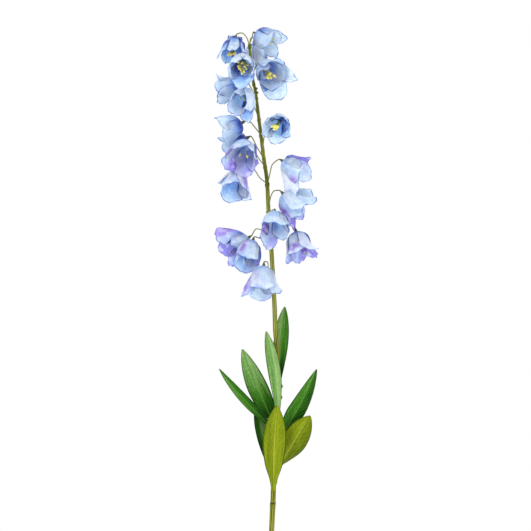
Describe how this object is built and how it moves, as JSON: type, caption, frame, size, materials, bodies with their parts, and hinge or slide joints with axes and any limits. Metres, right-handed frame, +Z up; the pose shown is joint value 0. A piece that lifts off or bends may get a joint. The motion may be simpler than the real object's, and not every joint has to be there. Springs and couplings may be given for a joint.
{
  "type": "bellflower in vase",
  "caption": "Tall cut bellflower spray with nodding pale blue bells and a tuft of lance-shaped leaves, standing in a slim clear glass bud vase with water.",
  "frame": {"origin": "middle of the vase's flat foot", "axes": "+Z up the flower, -Y towards the side that the bells face"},
  "size_m": [0.1424, 0.1168, 0.9544],
  "materials": {
    "vase_glass": "clear polished glass",
    "water": "clear still water",
    "stem_green": "satin moulded, faint ridges along the stem",
    "leaf_green": "printed woven cloth with pressed veins",
    "leaf_lime": "printed woven cloth with a grainy face and a raised midrib",
    "petal_blue": "thin dyed cloth, deep blue inside and pale at the rim",
    "petal_violet": "thin dyed cloth with violet rims",
    "stamen_yellow": "matt moulded"
  },
  "bodies": {
    "root": {"vase": "vase_glass", "water": "water", "stem_lower": "stem_green", "stem_upper": "stem_green", "leaf_1": "leaf_green", "leaf_2": "leaf_green", "leaf_3": "leaf_green", "leaf_4": "leaf_green", "leaf_5": "leaf_green", "leaf_6": "leaf_lime", "leaf_7": "leaf_lime", "leaf_8": "leaf_green", "bloom_01": "petal_blue", "bloom_02": "petal_blue", "bloom_03": "petal_blue", "bloom_04": "petal_blue", "bloom_05": "petal_blue", "bloom_06": "petal_blue", "bloom_07": "petal_blue", "bloom_08": "petal_blue", "bloom_09": "petal_blue", "bloom_10": "petal_violet", "bloom_11": "petal_violet", "bloom_12": "petal_violet", "bloom_13": "petal_violet", "bloom_14": "petal_violet", "bloom_15": "petal_violet", "bloom_16": "petal_violet", "bloom_17": "petal_violet", "bloom_18": "petal_violet", "bloom_19": "petal_violet", "stamens_01": "stamen_yellow", "stamens_02": "stamen_yellow", "stamens_03": "stamen_yellow", "stamens_04": "stamen_yellow", "stamens_05": "stamen_yellow", "stamens_06": "stamen_yellow", "stamens_07": "stamen_yellow", "stamens_08": "stamen_yellow", "stamens_09": "stamen_yellow", "stamens_10": "stamen_yellow", "stamens_11": "stamen_yellow", "stamens_12": "stamen_yellow", "stamens_13": "stamen_yellow", "stamens_14": "stamen_yellow", "stamens_15": "stamen_yellow", "stamens_16": "stamen_yellow", "stamens_17": "stamen_yellow", "stamens_18": "stamen_yellow", "stamens_19": "stamen_yellow"}
  },
  "joints": []
}
